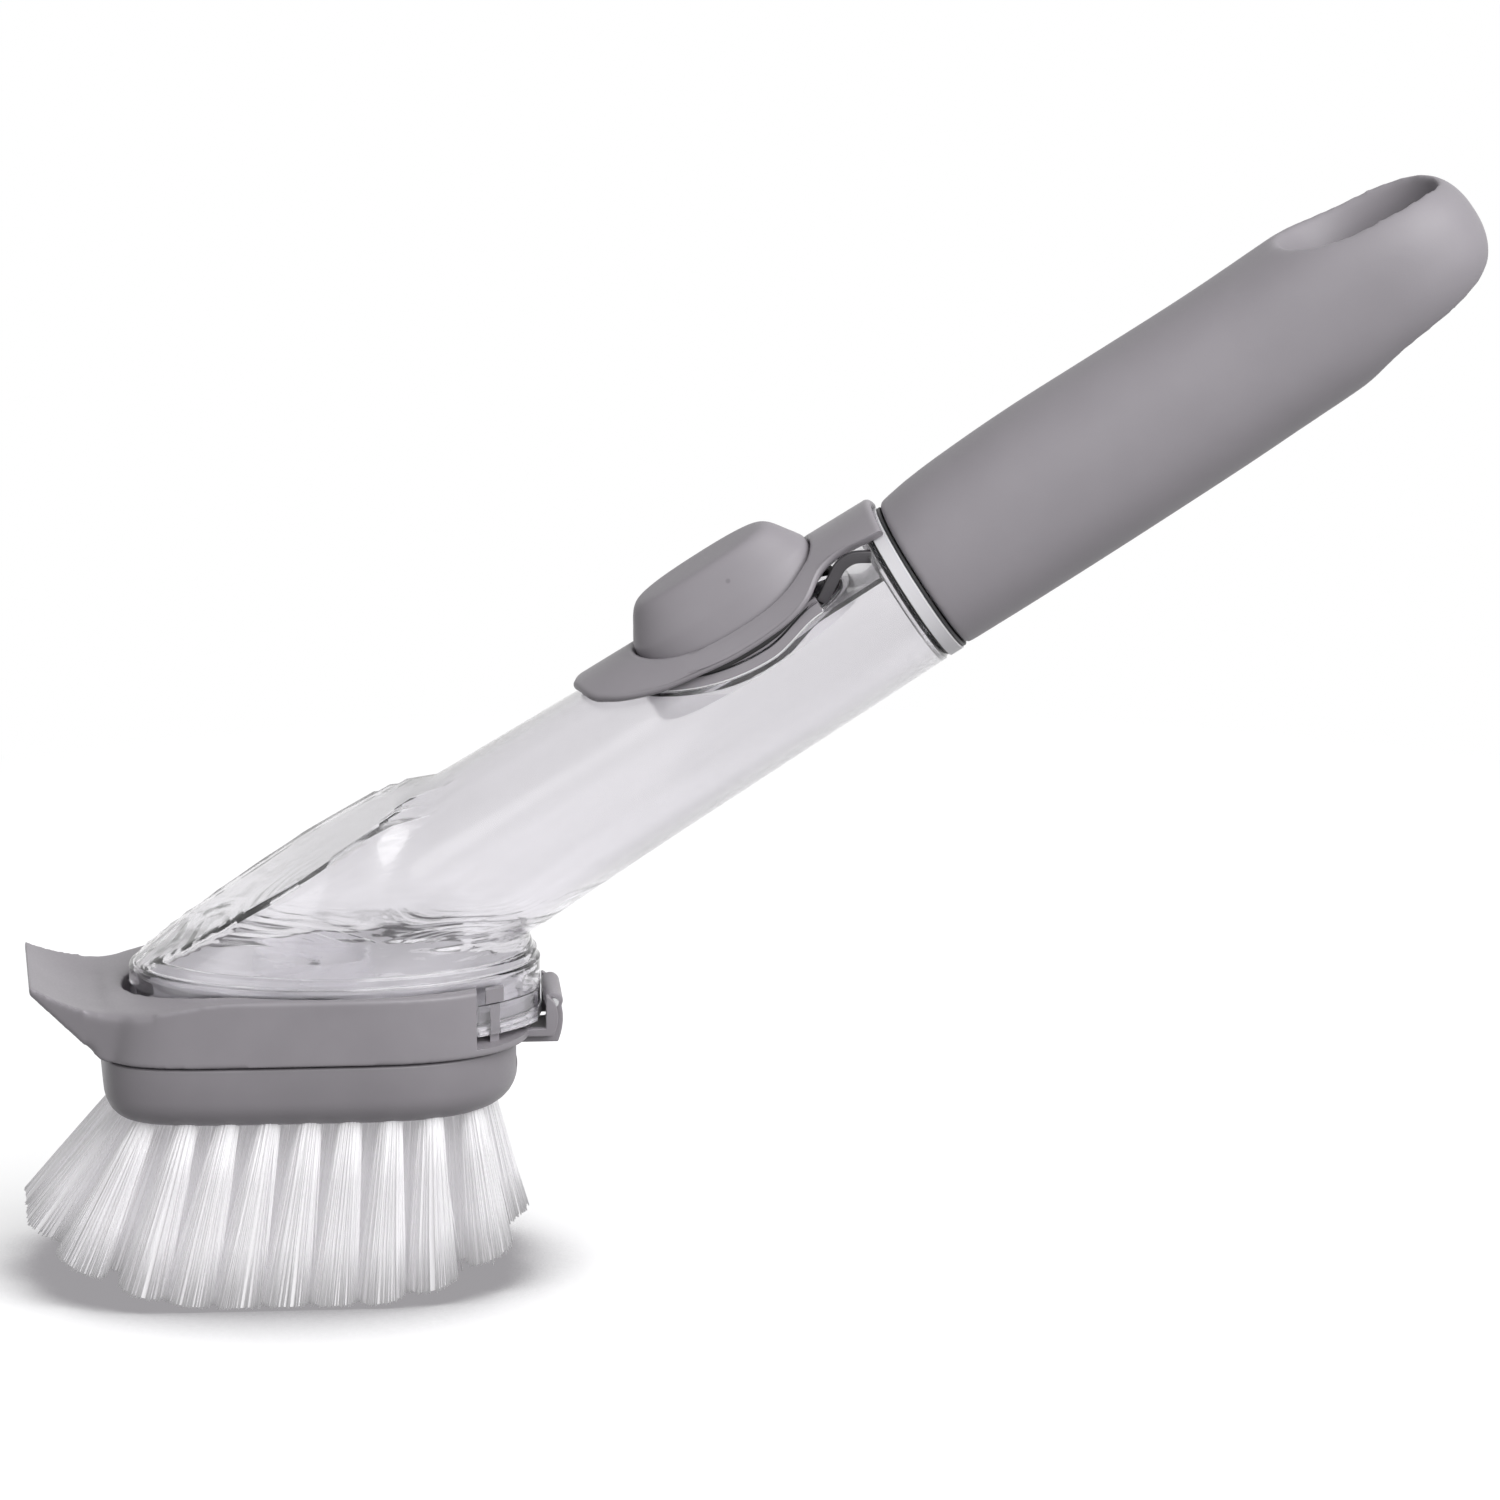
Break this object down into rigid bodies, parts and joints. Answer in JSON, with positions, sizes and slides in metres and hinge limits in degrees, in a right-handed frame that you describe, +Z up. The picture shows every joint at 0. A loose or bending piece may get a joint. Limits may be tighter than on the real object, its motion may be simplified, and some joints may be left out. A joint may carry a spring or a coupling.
{
  "type": "dish brush",
  "caption": "Soap dispensing dish brush: clear reservoir tube, grey handle with hanging hole, pump button, scraper lip and bristle refill.",
  "frame": {"origin": "under the middle of the brush's length and width, on the plane of the trimmed bristle tips", "axes": "+X along the brush from the scraper lip to the handle's end, +Y across it, +Z up from the bristle tips"},
  "size_m": [0.232, 0.0468, 0.1752],
  "materials": {
    "clear_plastic": "clear, polished",
    "frosted_plastic": "frosted, translucent white",
    "pale_silicone": "matt silicone",
    "grey_plastic": "satin moulded",
    "soft_grey": "soft touch, matt",
    "dome_silicone": "matt silicone",
    "black_rubber": "matt",
    "white_nylon": "filament",
    "pin_steel": "plain"
  },
  "bodies": {
    "body": {"reservoir_tube": "clear_plastic", "reservoir_foot": "clear_plastic", "sole_plate": "frosted_plastic", "sole_seal": "pale_silicone", "outlet_valve": "pale_silicone", "valve_retainer": "frosted_plastic", "scraper_frame": "grey_plastic", "latch_pin": "pin_steel", "neck_ring": "clear_plastic", "pump_base": "grey_plastic", "pump_seal": "black_rubber", "pump_valve": "black_rubber", "button_plate": "grey_plastic"},
    "button": {"button_dome": "dome_silicone"},
    "neck_seal": {"neck_seal": "black_rubber"},
    "handle": {"handle_grip": "soft_grey", "handle_core": "grey_plastic"},
    "latch": {"release_latch": "grey_plastic"},
    "refill": {"refill_block": "grey_plastic", "bristles_toe": "white_nylon", "bristles_mid_toe": "white_nylon", "bristles_mid_heel": "white_nylon", "bristles_heel": "white_nylon"}
  },
  "joints": [
    {"name": "button_press", "type": "slide", "parent": "body", "child": "button", "axis": [0.5373, 0, -0.8434], "range_m": [0, 0.0036], "stiffness_N_per_m": 900, "springref_m": -0.0015},
    {"name": "handle_pull", "type": "slide", "parent": "body", "child": "neck_seal", "axis": [0.8434, 0, 0.5373], "range_m": [0, 0.016]},
    {"name": "handle_twist", "type": "hinge", "parent": "neck_seal", "child": "handle", "pos_m": [0.0272, 0, 0.11188], "axis": [0.8434, 0, 0.5373], "range_deg": [0, 90]},
    {"name": "latch_swing", "type": "hinge", "parent": "body", "child": "latch", "pos_m": [-0.03182, 0, 0.0444], "axis": [0, -1, 0], "range_deg": [0, 20], "stiffness_Nm_per_rad": 0.02, "springref_deg": -11.46},
    {"name": "refill_pull", "type": "slide", "parent": "body", "child": "refill", "axis": [0, 0, -1], "range_m": [0, 0.024]}
  ]
}
